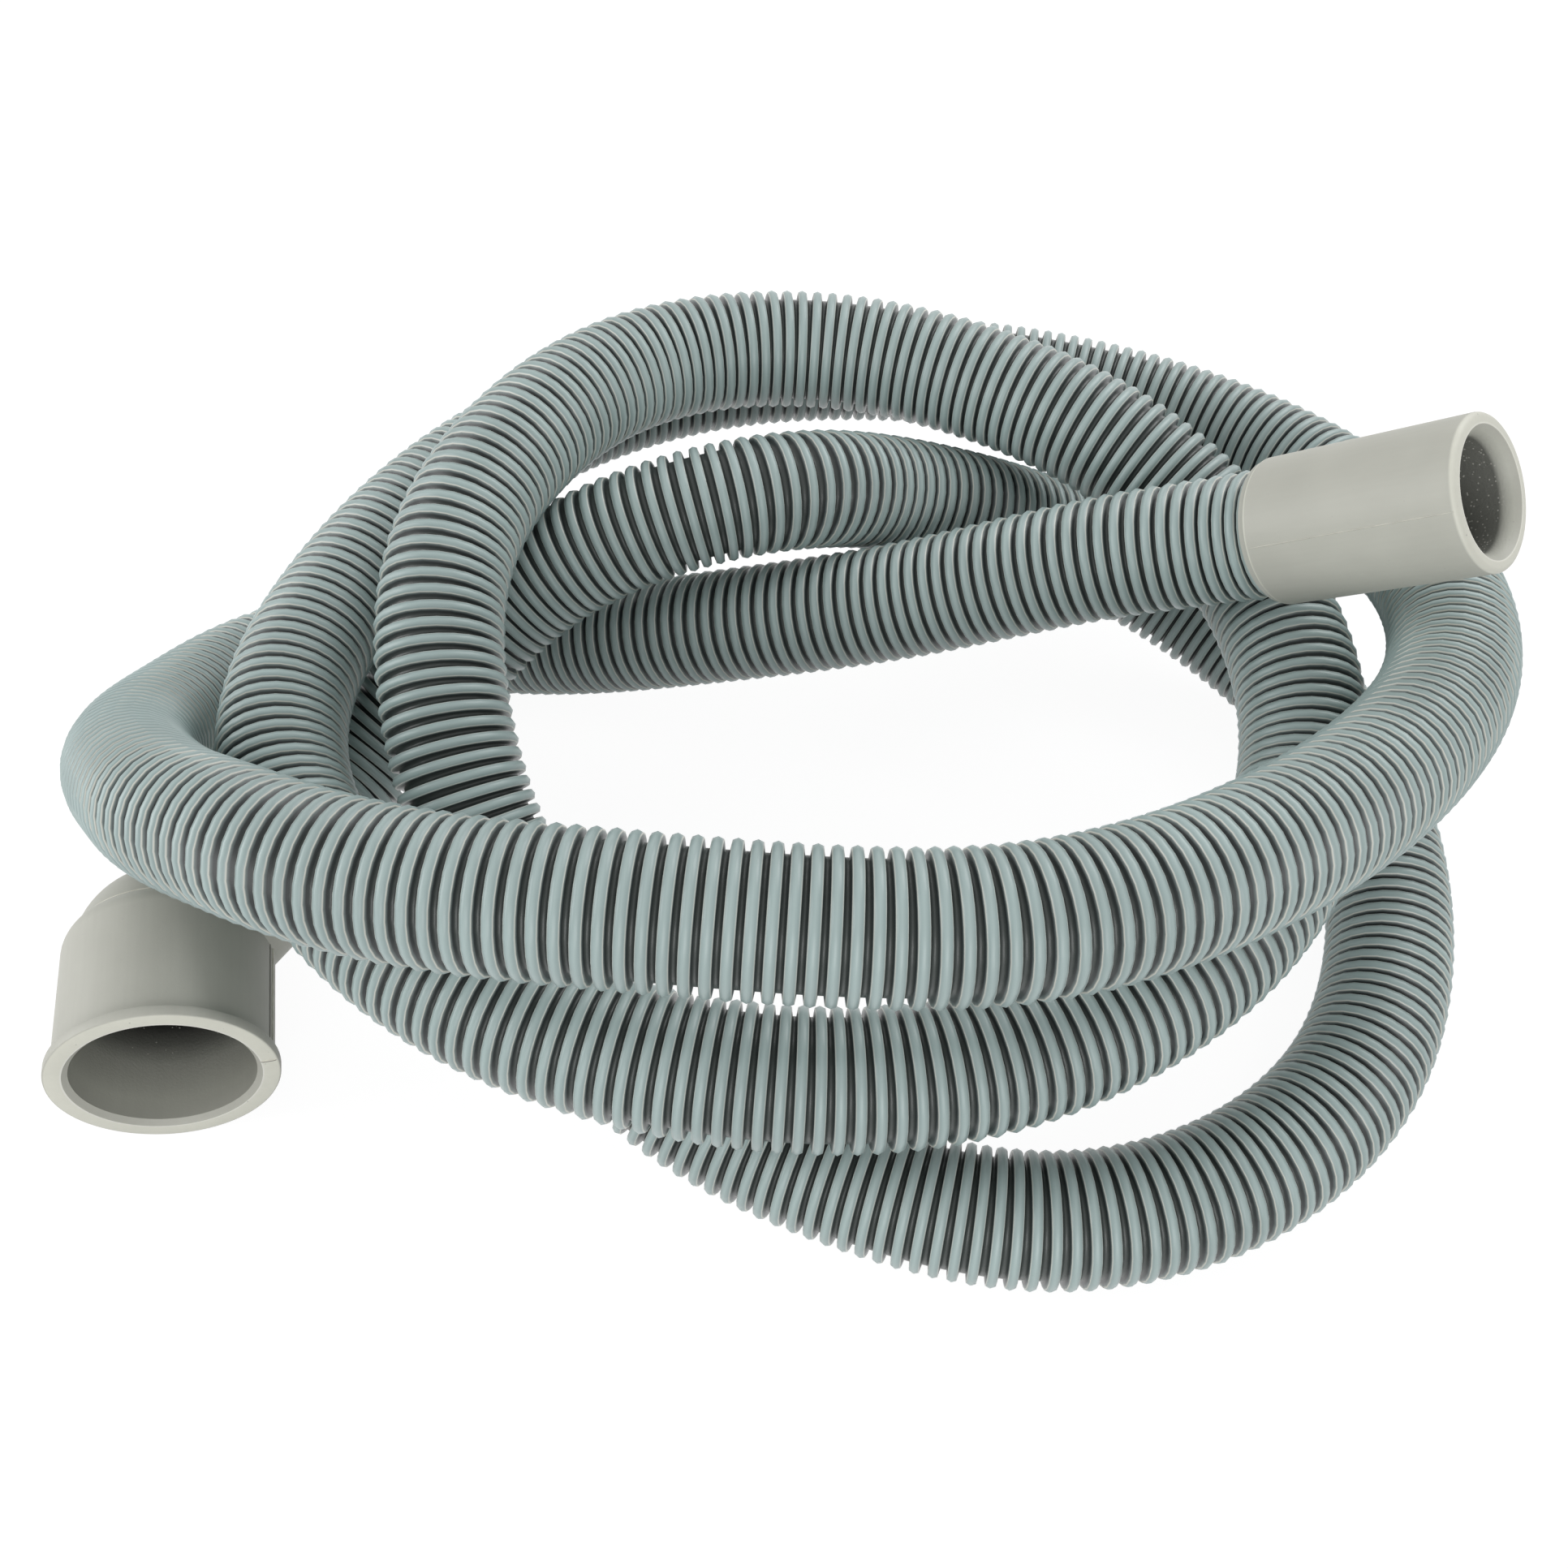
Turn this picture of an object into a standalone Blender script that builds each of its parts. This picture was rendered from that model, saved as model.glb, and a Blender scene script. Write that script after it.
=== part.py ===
"""Corrugated drain hose, loosely coiled, with a straight cuff at one end and an elbow cuff at the other.

Metres, +Z up. The hose lies on the floor at Z = 0 and the origin is below the middle of the coil.
"""
import math

import bmesh
import bpy
import numpy as np
from mathutils import Matrix, Vector

# Hose: outer radius over the ribs, and the clearance that both sockets leave around it and at its end.
HOSE_RADIUS = 0.0110
SOCKET_CLEARANCE = 0.0003
SOCKET_RADIUS = HOSE_RADIUS + SOCKET_CLEARANCE
# The hose is made in runs of equal length that meet face to face, half a clearance either side of the joint.
HOSE_RUN_COUNT = 4
RUN_CLEARANCE = 0.0003
HOSE_STATIONS = 80
HOSE_BEVEL_RESOLUTION = 3
CURVE_SAMPLES = 40

# The hose's centreline in metres, chosen by hand from the straight cuff to the elbow cuff.
HOSE_ROUTE = [
    (0.0945, -0.0038, 0.0851), (0.0872, 0.0010, 0.0785), (0.0798, 0.0058, 0.0719), (0.0565, 0.0135, 0.0598),
    (0.0215, 0.0200, 0.0432), (-0.0170, 0.0265, 0.0292), (-0.0565, 0.0370, 0.0150),
    (-0.0780, 0.0420, 0.0113), (-0.0975, 0.0385, 0.0121), (-0.1110, 0.0260, 0.0165), (-0.1160, 0.0080, 0.0255),
    (-0.1160, -0.0095, 0.0365), (-0.1120, -0.0235, 0.0460), (-0.1020, -0.0390, 0.0575), (-0.0925, -0.0500, 0.0655),
    (-0.0810, -0.0585, 0.0710), (-0.0745, -0.0625, 0.0730), (-0.0555, -0.0700, 0.0755), (-0.0290, -0.0745, 0.0765),
    (-0.0025, -0.0765, 0.0755), (0.0305, -0.0755, 0.0745), (0.0635, -0.0615, 0.0705), (0.0920, -0.0370, 0.0625),
    (0.1110, -0.0085, 0.0540), (0.1165, 0.0180, 0.0485), (0.1095, 0.0455, 0.0440), (0.0890, 0.0695, 0.0420),
    (0.0560, 0.0845, 0.0430), (0.0195, 0.0885, 0.0450), (-0.0180, 0.0830, 0.0465), (-0.0485, 0.0675, 0.0465),
    (-0.0705, 0.0435, 0.0465), (-0.0840, 0.0150, 0.0465), (-0.0885, -0.0105, 0.0462), (-0.0835, -0.0325, 0.0447),
    (-0.0695, -0.0520, 0.0430), (-0.0455, -0.0690, 0.0420), (-0.0135, -0.0785, 0.0405), (0.0195, -0.0785, 0.0395),
    (0.0505, -0.0670, 0.0395), (0.0725, -0.0485, 0.0405), (0.0850, -0.0250, 0.0420), (0.0875, -0.0005, 0.0460),
    (0.0805, 0.0250, 0.0503), (0.0625, 0.0425, 0.0585), (0.0350, 0.0595, 0.0625), (0.0030, 0.0680, 0.0640),
    (-0.0280, 0.0600, 0.0660), (-0.0495, 0.0355, 0.0675), (-0.0600, 0.0080, 0.0635), (-0.0595, -0.0150, 0.0540),
    (-0.0530, -0.0340, 0.0405), (-0.0410, -0.0500, 0.0255), (-0.0235, -0.0655, 0.0150), (0.0065, -0.0810, 0.0110),
    (0.0380, -0.0885, 0.0110), (0.0700, -0.0815, 0.0110), (0.0945, -0.0610, 0.0110), (0.1065, -0.0335, 0.0110),
    (0.1095, -0.0050, 0.0110), (0.1040, 0.0205, 0.0115), (0.0875, 0.0410, 0.0155), (0.0625, 0.0535, 0.0245),
    (0.0350, 0.0490, 0.0400), (0.0170, 0.0430, 0.0492), (0.0005, 0.0352, 0.0563), (-0.0265, 0.0285, 0.0545),
    (-0.0530, 0.0220, 0.0415), (-0.0700, 0.0100, 0.0295), (-0.0798, 0.0013, 0.0230), (-0.0863, -0.0074, 0.0199),
    (-0.0906, -0.0142, 0.0196), (-0.0960, -0.0226, 0.0192), (-0.1011, -0.0308, 0.0189),
]
# Steps of the route, from each end, that lie inside a cuff's socket. They are in line with each other.
HELD_STEPS = 2

# Straight cuff: a sleeve that the hose is pushed into until it meets the ledge of the narrower bore.
CUFF_WALL = 0.0010
CUFF_RADIUS = SOCKET_RADIUS + CUFF_WALL
CUFF_LEDGE = 0.0023
CUFF_BORE_RADIUS = SOCKET_RADIUS - CUFF_LEDGE
CUFF_LENGTH = 0.0365
CUFF_MOUTH_CHAMFER = 0.0013
CUFF_EDGE_BEVEL = 0.0008

# Elbow cuff: a wide cup with a rim, a ball at the corner, and a narrower limb that the hose is pushed into.
CUP_BORE_RADIUS = 0.0146
CUP_WALL = 0.0028
CUP_RADIUS = CUP_BORE_RADIUS + CUP_WALL
RIM_REACH = 0.0010
RIM_RADIUS = CUP_RADIUS + RIM_REACH
RIM_THICKNESS = 0.0020
CUP_MOUTH_CHAMFER = 0.0009
CUP_LENGTH = 0.0285
CUP_END_WALL = 0.0045
CUP_BORE_DEPTH = CUP_LENGTH - CUP_END_WALL
CUP_SHOULDER_RADIUS = 0.0050
# Way that the cup's axis runs inwards from its mouth, turned from +X.
CUP_HEADING = math.radians(101.2)
LIMB_WALL = 0.0029
LIMB_RADIUS = SOCKET_RADIUS + LIMB_WALL
LIMB_LEDGE = 0.0021
LIMB_BORE_RADIUS = SOCKET_RADIUS - LIMB_LEDGE
LIMB_LENGTH = 0.0340
# The ball stands out from the limb by this much. Its centre is the corner, where the limb's axis meets
# the cup's axis, at the inset ahead of the cup's closed end.
BALL_REACH = 0.0016
BALL_RADIUS = LIMB_RADIUS + BALL_REACH
ELBOW_CORNER_INSET = 0.0039

ROUND_SEGMENTS = 48
SHOULDER_STEPS = 6
BALL_STEPS = 14
CUT_OVERRUN = 0.002
SMOOTH_ANGLE = math.radians(35)


def clear_scene():
    for old in list(bpy.data.objects):
        bpy.data.objects.remove(old, do_unlink=True)


def make_material(name, colour, roughness):
    material = bpy.data.materials.new(name)
    material.use_nodes = True
    shader = material.node_tree.nodes["Principled BSDF"]
    shader.inputs["Base Color"].default_value = (*colour, 1.0)
    shader.inputs["Roughness"].default_value = roughness
    shader.inputs["Metallic"].default_value = 0.0
    material.diffuse_color = (*colour, 1.0)
    return material


def socket_around(hose_entry, hose_end):
    """Where a cuff holds the hose: the rim of its socket, the way in, and the socket's depth."""
    rim = Vector(hose_entry)
    held = Vector(hose_end) - rim
    return rim, held.normalized(), held.length + SOCKET_CLEARANCE


def placed_along(start, axis):
    """Matrix that puts local Z along the axis and the local origin at the start."""
    return Matrix.Translation(start) @ axis.to_track_quat("Z", "Y").to_matrix().to_4x4()


def turned(name, profile, placement):
    """Solid of revolution: the profile is a closed list of (radius, height) pairs around local Z."""
    mesh = bpy.data.meshes.new(name)
    shape = bmesh.new()
    rings = []
    for radius, height in profile:
        if radius == 0.0:
            rings.append([shape.verts.new((0.0, 0.0, height))])
            continue
        ring = []
        for step in range(ROUND_SEGMENTS):
            angle = math.tau * step / ROUND_SEGMENTS
            ring.append(shape.verts.new((radius * math.cos(angle), radius * math.sin(angle), height)))
        rings.append(ring)
    for lower, upper in zip(rings, rings[1:] + rings[:1]):
        if len(lower) == 1 and len(upper) == 1:
            continue
        for step in range(ROUND_SEGMENTS):
            following = (step + 1) % ROUND_SEGMENTS
            corners = [lower[step % len(lower)], lower[following % len(lower)],
                       upper[following % len(upper)], upper[step % len(upper)]]
            shape.faces.new(list(dict.fromkeys(corners)))
    bmesh.ops.recalc_face_normals(shape, faces=shape.faces)
    shape.to_mesh(mesh)
    shape.free()
    mesh.shade_smooth()
    mesh.set_sharp_from_angle(angle=SMOOTH_ANGLE)
    item = bpy.data.objects.new(name, mesh)
    bpy.context.scene.collection.objects.link(item)
    item.matrix_world = placement
    return item


def rounded_edge(radius, height, bevel, steps=SHOULDER_STEPS):
    """Quarter round from the side of a cylinder over to its end, as (radius, height) pairs."""
    points = []
    for step in range(steps + 1):
        angle = 0.5 * math.pi * step / steps
        points.append((radius - bevel + bevel * math.cos(angle), height - bevel + bevel * math.sin(angle)))
    return points


def ball_end(radius, ball_radius, centre_height):
    """Ball on the end of a cylinder, from the cylinder's side round to the pole, as (radius, height) pairs."""
    start = math.asin(radius / ball_radius)
    points = []
    for step in range(BALL_STEPS):
        angle = start + (math.pi - start) * step / BALL_STEPS
        points.append((ball_radius * math.sin(angle), centre_height - ball_radius * math.cos(angle)))
    return points + [(0.0, centre_height + ball_radius)]


def combine(body, other, operation):
    """Joins another solid to the body, or cuts it from the body, and leaves it as a hidden guide."""
    modifier = body.modifiers.new(operation.title() + " " + other.name, "BOOLEAN")
    modifier.operation = operation
    modifier.solver = "EXACT"
    modifier.object = other
    other.hide_render = True
    other.display_type = "WIRE"


def smooth_curve(route, stations):
    """Evenly spaced points on the natural cubic curve through the route's points."""
    points = np.array(route)
    steps = np.linalg.norm(np.diff(points, axis=0), axis=1)
    count = len(points)
    system = np.eye(count)
    target = np.zeros((count, 3))
    slopes = np.diff(points, axis=0) / steps[:, None]
    for row in range(1, count - 1):
        system[row, row - 1] = steps[row - 1]
        system[row, row] = 2.0 * (steps[row - 1] + steps[row])
        system[row, row + 1] = steps[row]
        target[row] = 6.0 * (slopes[row] - slopes[row - 1])
    bend = np.linalg.solve(system, target)
    fine = []
    share = np.linspace(0.0, 1.0, CURVE_SAMPLES, endpoint=False)[:, None]
    for row, step in enumerate(steps):
        rest = 1.0 - share
        straight = rest * points[row] + share * points[row + 1]
        bulge = (rest ** 3 - rest) * bend[row] + (share ** 3 - share) * bend[row + 1]
        fine.append(straight + bulge * step ** 2 / 6.0)
    fine = np.vstack(fine + [points[-1:]])
    travel = np.concatenate([[0.0], np.cumsum(np.linalg.norm(np.diff(fine, axis=0), axis=1))])
    places = np.linspace(0.0, travel[-1], stations)
    return np.stack([np.interp(places, travel, fine[:, axis]) for axis in range(3)], axis=1)


def make_hose_run(name, line, material):
    """Closed plain tube along one run of the hose's centreline."""
    curve = bpy.data.curves.new(name, "CURVE")
    curve.dimensions = "3D"
    curve.bevel_depth = HOSE_RADIUS
    curve.bevel_resolution = HOSE_BEVEL_RESOLUTION
    curve.use_fill_caps = True
    spline = curve.splines.new("POLY")
    spline.points.add(len(line) - 1)
    for point, place in zip(spline.points, line):
        point.co = (*place, 1.0)
    run = bpy.data.objects.new(name, curve)
    bpy.context.scene.collection.objects.link(run)
    curve.materials.append(material)


def make_hose(material):
    """Runs that part in the middle of a straight step, where their ends stay square to the hose."""
    stations = smooth_curve(HOSE_ROUTE, HOSE_STATIONS)
    runs = np.array_split(stations, HOSE_RUN_COUNT)
    for before, after in zip(range(HOSE_RUN_COUNT - 1), range(1, HOSE_RUN_COUNT)):
        step = runs[after][0] - runs[before][-1]
        middle = runs[before][-1] + 0.5 * step
        back_off = 0.5 * RUN_CLEARANCE * step / np.linalg.norm(step)
        runs[before] = np.vstack([runs[before], middle - back_off])
        runs[after] = np.vstack([middle + back_off, runs[after]])
    for number, line in enumerate(runs, start=1):
        make_hose_run("corrugated_hose_%d" % number, line, material)


def make_straight_cuff(material):
    """Sleeve in one turned profile, from its hose end at height 0 to its mouth."""
    rim, inward, socket_depth = socket_around(HOSE_ROUTE[HELD_STEPS], HOSE_ROUTE[0])
    profile = [(SOCKET_RADIUS, 0.0), (CUFF_RADIUS - CUFF_EDGE_BEVEL, 0.0), (CUFF_RADIUS, CUFF_EDGE_BEVEL)]
    profile += [(CUFF_RADIUS, CUFF_LENGTH)]
    profile += [(CUFF_BORE_RADIUS + CUFF_MOUTH_CHAMFER, CUFF_LENGTH)]
    profile += [(CUFF_BORE_RADIUS, CUFF_LENGTH - CUFF_MOUTH_CHAMFER)]
    profile += [(CUFF_BORE_RADIUS, socket_depth), (SOCKET_RADIUS, socket_depth)]
    cuff = turned("straight_cuff", profile, placed_along(rim, inward))
    cuff.data.materials.append(material)
    return cuff


def make_elbow_cuff(material):
    """Cup, ball and limb joined, then bored: the cup's wide bore, the waterway and the hose's socket.

    The limb follows the hose to the corner, and the cup's rim rests on the floor.
    """
    limb_rim, limb_way, socket_depth = socket_around(HOSE_ROUTE[-1 - HELD_STEPS], HOSE_ROUTE[-1])
    corner = limb_rim + limb_way * LIMB_LENGTH
    level_way = Vector((math.cos(CUP_HEADING), math.sin(CUP_HEADING), 0.0))
    mouth = corner - level_way * (CUP_LENGTH - ELBOW_CORNER_INSET)
    mouth.z = RIM_RADIUS
    cup_place = placed_along(mouth, corner - mouth)
    limb_place = placed_along(limb_rim, limb_way)

    rim = [(0.0, 0.0), (RIM_RADIUS, 0.0), (RIM_RADIUS, RIM_THICKNESS), (CUP_RADIUS, RIM_THICKNESS)]
    shoulder = rounded_edge(CUP_RADIUS, CUP_LENGTH, CUP_SHOULDER_RADIUS)
    elbow = turned("elbow_cuff", rim + shoulder + [(0.0, CUP_LENGTH)], cup_place)
    limb_side = [(0.0, 0.0), (LIMB_RADIUS, 0.0)]
    limb = turned("limb_form", limb_side + ball_end(LIMB_RADIUS, BALL_RADIUS, LIMB_LENGTH), limb_place)

    chamfer_top = CUP_BORE_RADIUS + CUP_MOUTH_CHAMFER
    bore = [(0.0, -CUT_OVERRUN), (chamfer_top, -CUT_OVERRUN), (chamfer_top, 0.0)]
    bore += [(CUP_BORE_RADIUS, CUP_MOUTH_CHAMFER)]
    bore += rounded_edge(CUP_BORE_RADIUS, CUP_BORE_DEPTH, CUP_SHOULDER_RADIUS) + [(0.0, CUP_BORE_DEPTH)]
    cup_bore = turned("cup_bore_cut", bore, cup_place)

    waterway = [(0.0, -CUT_OVERRUN), (SOCKET_RADIUS, -CUT_OVERRUN), (SOCKET_RADIUS, socket_depth)]
    waterway += [(LIMB_BORE_RADIUS, socket_depth), (LIMB_BORE_RADIUS, LIMB_LENGTH), (0.0, LIMB_LENGTH)]
    limb_bore = turned("limb_bore_cut", waterway, limb_place)

    combine(elbow, limb, "UNION")
    combine(elbow, cup_bore, "DIFFERENCE")
    combine(elbow, limb_bore, "DIFFERENCE")
    elbow.data.materials.append(material)
    return elbow


clear_scene()
hose_grey = make_material("hose_grey", (0.27, 0.32, 0.31), 0.42)
cuff_grey = make_material("cuff_grey", (0.40, 0.40, 0.36), 0.55)
make_hose(hose_grey)
make_straight_cuff(cuff_grey)
make_elbow_cuff(cuff_grey)
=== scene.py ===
import math
import bmesh
import bpy
import numpy as np
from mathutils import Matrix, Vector


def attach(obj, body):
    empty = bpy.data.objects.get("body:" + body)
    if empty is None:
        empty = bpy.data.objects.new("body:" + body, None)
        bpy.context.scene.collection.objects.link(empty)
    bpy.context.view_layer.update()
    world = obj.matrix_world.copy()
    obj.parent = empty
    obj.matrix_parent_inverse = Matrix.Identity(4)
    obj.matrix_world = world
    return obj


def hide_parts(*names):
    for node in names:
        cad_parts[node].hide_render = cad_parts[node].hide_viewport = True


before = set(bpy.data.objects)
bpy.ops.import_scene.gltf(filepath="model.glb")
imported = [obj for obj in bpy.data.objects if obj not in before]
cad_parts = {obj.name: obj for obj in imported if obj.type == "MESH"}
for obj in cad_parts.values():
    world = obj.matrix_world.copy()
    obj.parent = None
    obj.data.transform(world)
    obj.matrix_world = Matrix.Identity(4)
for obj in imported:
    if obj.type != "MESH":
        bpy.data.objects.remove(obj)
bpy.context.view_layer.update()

scene = bpy.context.scene
up = (0.0, 0.0, 1.0)


# Camera: where it stands, how far it looks down, its lens on a square sensor, and its near clip.
camera = dict(place=(-0.0025, -0.2030, 0.2552), lookDown=50.0, focalLength=37.71, sensor=36.0, nearest=0.01)


def setCamera(view):
    data = bpy.data.cameras.new("studioCamera")
    data.lens = view["focalLength"]
    data.sensor_width = view["sensor"]
    data.clip_start = view["nearest"]
    item = bpy.data.objects.new("studioCamera", data)
    item.location = view["place"]
    item.rotation_euler = (math.radians(90.0 - view["lookDown"]), 0.0, 0.0)
    scene.collection.objects.link(item)
    scene.camera = item


setCamera(camera)
print("camera set")


def makeMesh(name, points, faces, smoothAngle=60.0):
    # Puts whole arrays of points and faces into a new mesh object at the origin. Edges that turn by more
    # than smoothAngle stay crisp.
    mesh = bpy.data.meshes.new(name)
    mesh.from_pydata(points.tolist(), [], faces)
    mesh.validate()
    mesh.shade_smooth()
    mesh.set_sharp_from_angle(angle=math.radians(smoothAngle))
    item = bpy.data.objects.new(name, mesh)
    scene.collection.objects.link(item)
    return item


def ringFaces(rows, sides, closed):
    # Quads between neighbouring rings of a grid of rows by sides; closed joins the last row to the first.
    row = np.arange(rows if closed else rows - 1)[:, None] * sides
    side = np.arange(sides)[None, :]
    nextRow = (row + sides) % (rows * sides)
    nextSide = (side + 1) % sides
    quads = np.stack([row + side, row + nextSide, nextRow + nextSide, nextRow + side], axis=-1)
    return quads.reshape(-1, 4).tolist()


# Hose: blown corrugated tube. The route is the centreline from the straight cuff to the elbow cuff.
hose = dict(
    ribs=718, radius=0.0110, grooveDepth=0.0017,
    ribShare=0.735,  # width of a rib's foot as a share of the pitch
    slant=0.00022,  # how far each side of a rib leans in
    crownRise=0.00034,  # how far a rib's middle stands above its edges
    boreRadius=0.0084, boreRings=150, sides=26, smoothAngle=88.0,
    samples=40,  # fine points for each step of the route
    route=[
        (0.0945, -0.0038, 0.0851), (0.0872, 0.0010, 0.0785), (0.0798, 0.0058, 0.0719),
        (0.0565, 0.0135, 0.0598), (0.0215, 0.0200, 0.0432), (-0.0170, 0.0265, 0.0292),
        (-0.0565, 0.0370, 0.0150), (-0.0780, 0.0420, 0.0113), (-0.0975, 0.0385, 0.0121),
        (-0.1110, 0.0260, 0.0165), (-0.1160, 0.0080, 0.0255), (-0.1160, -0.0095, 0.0365),
        (-0.1120, -0.0235, 0.0460), (-0.1020, -0.0390, 0.0575), (-0.0925, -0.0500, 0.0655),
        (-0.0810, -0.0585, 0.0710), (-0.0745, -0.0625, 0.0730), (-0.0555, -0.0700, 0.0755),
        (-0.0290, -0.0745, 0.0765), (-0.0025, -0.0765, 0.0755), (0.0305, -0.0755, 0.0745),
        (0.0635, -0.0615, 0.0705), (0.0920, -0.0370, 0.0625), (0.1110, -0.0085, 0.0540),
        (0.1165, 0.0180, 0.0485), (0.1095, 0.0455, 0.0440), (0.0890, 0.0695, 0.0420),
        (0.0560, 0.0845, 0.0430), (0.0195, 0.0885, 0.0450), (-0.0180, 0.0830, 0.0465),
        (-0.0485, 0.0675, 0.0465), (-0.0705, 0.0435, 0.0465), (-0.0840, 0.0150, 0.0465),
        (-0.0885, -0.0105, 0.0462), (-0.0835, -0.0325, 0.0447), (-0.0695, -0.0520, 0.0430),
        (-0.0455, -0.0690, 0.0420), (-0.0135, -0.0785, 0.0405), (0.0195, -0.0785, 0.0395),
        (0.0505, -0.0670, 0.0395), (0.0725, -0.0485, 0.0405), (0.0850, -0.0250, 0.0420),
        (0.0875, -0.0005, 0.0460), (0.0805, 0.0250, 0.0503), (0.0625, 0.0425, 0.0585),
        (0.0350, 0.0595, 0.0625), (0.0030, 0.0680, 0.0640), (-0.0280, 0.0600, 0.0660),
        (-0.0495, 0.0355, 0.0675), (-0.0600, 0.0080, 0.0635), (-0.0595, -0.0150, 0.0540),
        (-0.0530, -0.0340, 0.0405), (-0.0410, -0.0500, 0.0255), (-0.0235, -0.0655, 0.0150),
        (0.0065, -0.0810, 0.0110), (0.0380, -0.0885, 0.0110), (0.0700, -0.0815, 0.0110),
        (0.0945, -0.0610, 0.0110), (0.1065, -0.0335, 0.0110), (0.1095, -0.0050, 0.0110),
        (0.1040, 0.0205, 0.0115), (0.0875, 0.0410, 0.0155), (0.0625, 0.0535, 0.0245),
        (0.0350, 0.0490, 0.0400), (0.0170, 0.0430, 0.0492), (0.0005, 0.0352, 0.0563),
        (-0.0265, 0.0285, 0.0545), (-0.0530, 0.0220, 0.0415), (-0.0700, 0.0100, 0.0295),
        (-0.0798, 0.0013, 0.0230), (-0.0863, -0.0074, 0.0199), (-0.0906, -0.0142, 0.0196),
        (-0.0960, -0.0226, 0.0192), (-0.1011, -0.0308, 0.0189),
    ],
)


def naturalCurve(route, samples):
    # Natural cubic through the route's points: the bends at the points solve a row of three per point,
    # and each step is a straight mix of its ends plus the bulge that the two bends give it.
    points = np.array(route)
    steps = np.linalg.norm(np.diff(points, axis=0), axis=1)
    count = len(points)
    slopes = np.diff(points, axis=0) / steps[:, None]
    system = np.eye(count)
    inner = np.arange(1, count - 1)
    system[inner, inner - 1] = steps[:-1]
    system[inner, inner] = 2.0 * (steps[:-1] + steps[1:])
    system[inner, inner + 1] = steps[1:]
    target = np.zeros((count, 3))
    target[1:-1] = 6.0 * np.diff(slopes, axis=0)
    bend = np.linalg.solve(system, target)
    share = np.linspace(0.0, 1.0, samples, endpoint=False)[None, :, None]
    rest = 1.0 - share
    bulge = (rest ** 3 - rest) * bend[:-1, None] + (share ** 3 - share) * bend[1:, None]
    fine = rest * points[:-1, None] + share * points[1:, None] + bulge * steps[:, None, None] ** 2 / 6.0
    return np.vstack([fine.reshape(-1, 3), points[-1:]])


def alongCurve(fine, places):
    # Points and unit directions at the given distances along a finely sampled curve.
    travel = np.concatenate([[0.0], np.cumsum(np.linalg.norm(np.diff(fine, axis=0), axis=1))])
    heading = np.gradient(fine, travel, axis=0)
    at = np.stack([np.interp(places, travel, fine[:, axis]) for axis in range(3)], axis=1)
    way = np.stack([np.interp(places, travel, heading[:, axis]) for axis in range(3)], axis=1)
    return at, way / np.linalg.norm(way, axis=1)[:, None]


def tubeRings(centres, ways, radii, sides):
    # Rings square to the line: sideways is level, over is at right angles to both, and each ring turns
    # from sideways to over with the cosine and sine of its angle.
    sideways = np.cross(ways, up)
    sideways /= np.linalg.norm(sideways, axis=1)[:, None]
    over = np.cross(sideways, ways)
    angle = np.linspace(0.0, math.tau, sides, endpoint=False)[None, :, None]
    around = np.cos(angle) * sideways[:, None] + np.sin(angle) * over[:, None]
    return centres[:, None] + radii[:, None, None] * around


def makeHose(spec):
    # Outer wall: each rib is a stiff ring of fixed width with slanting sides and a raised middle, square to
    # the line at its own middle, so only the grooves open and close in a bend. Inner wall: a plain bore.
    fine = naturalCurve(spec["route"], spec["samples"])
    length = float(np.linalg.norm(np.diff(fine, axis=0), axis=1).sum())
    pitch = length / spec["ribs"]
    halfRib = 0.5 * spec["ribShare"] * pitch
    halfCrown = halfRib - spec["slant"]
    outer = spec["radius"]
    valley = outer - spec["grooveDepth"]
    edge = outer - spec["crownRise"]
    offsets = np.array([-halfRib, -halfCrown, 0.0, halfCrown, halfRib])
    profile = np.array([valley, edge, outer, edge, valley])
    middles = (np.arange(spec["ribs"]) + 0.5) * pitch
    ribCentres, ribWays = alongCurve(fine, middles)
    centres = (ribCentres[:, None] + offsets[None, :, None] * ribWays[:, None]).reshape(-1, 3)
    ways = np.repeat(ribWays, len(offsets), axis=0)
    radii = np.tile(profile, spec["ribs"])
    borePlaces = np.linspace(length - 0.5 * pitch, 0.5 * pitch, spec["boreRings"])
    boreCentres, boreWays = alongCurve(fine, borePlaces)
    centres = np.vstack([centres, boreCentres])
    ways = np.vstack([ways, boreWays])
    radii = np.concatenate([radii, np.full(spec["boreRings"], spec["boreRadius"])])
    rings = tubeRings(centres, ways, radii, spec["sides"])
    faces = ringFaces(len(radii), spec["sides"], True)
    item = makeMesh("drainHose", rings.reshape(-1, 3), faces, spec["smoothAngle"])
    # How deep each point lies, which the hose's material reads to paint its highlights and shade: 0 on a
    # crown, 1 on a groove's floor.
    depth = np.clip((outer - radii) / spec["grooveDepth"], 0.0, 1.0)
    grooved = item.data.attributes.new("grooved", "FLOAT", "POINT")
    grooved.data.foreach_set("value", np.repeat(depth, spec["sides"]).astype(np.float32))
    path = np.vstack([fine[:1], ribCentres, fine[-1:]])
    return item, path, length


drainHose, hosePath, hoseLength = makeHose(hose)
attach(drainHose, "root")
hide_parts("corrugated_hose_1", "corrugated_hose_2", "corrugated_hose_3", "corrugated_hose_4")
print("hose made, %.1f mm long, %d faces" % (hoseLength * 1000.0, len(drainHose.data.polygons)))

# Both cuffs hold two steps at an end of the route, and their axes lie along them.
cuffHold = 2
sideLightLevel = 0.5  # level of painted light on a cuff's plain sides, neither lit nor shaded, on the scale of the painted light and shade at each point
mergeDistance = 1e-6  # points this close become one
tolerance = 1e-5  # a point this close to a ring's height or radius is on that ring


def unit(vector):
    return np.array(vector) / np.linalg.norm(vector)


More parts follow.
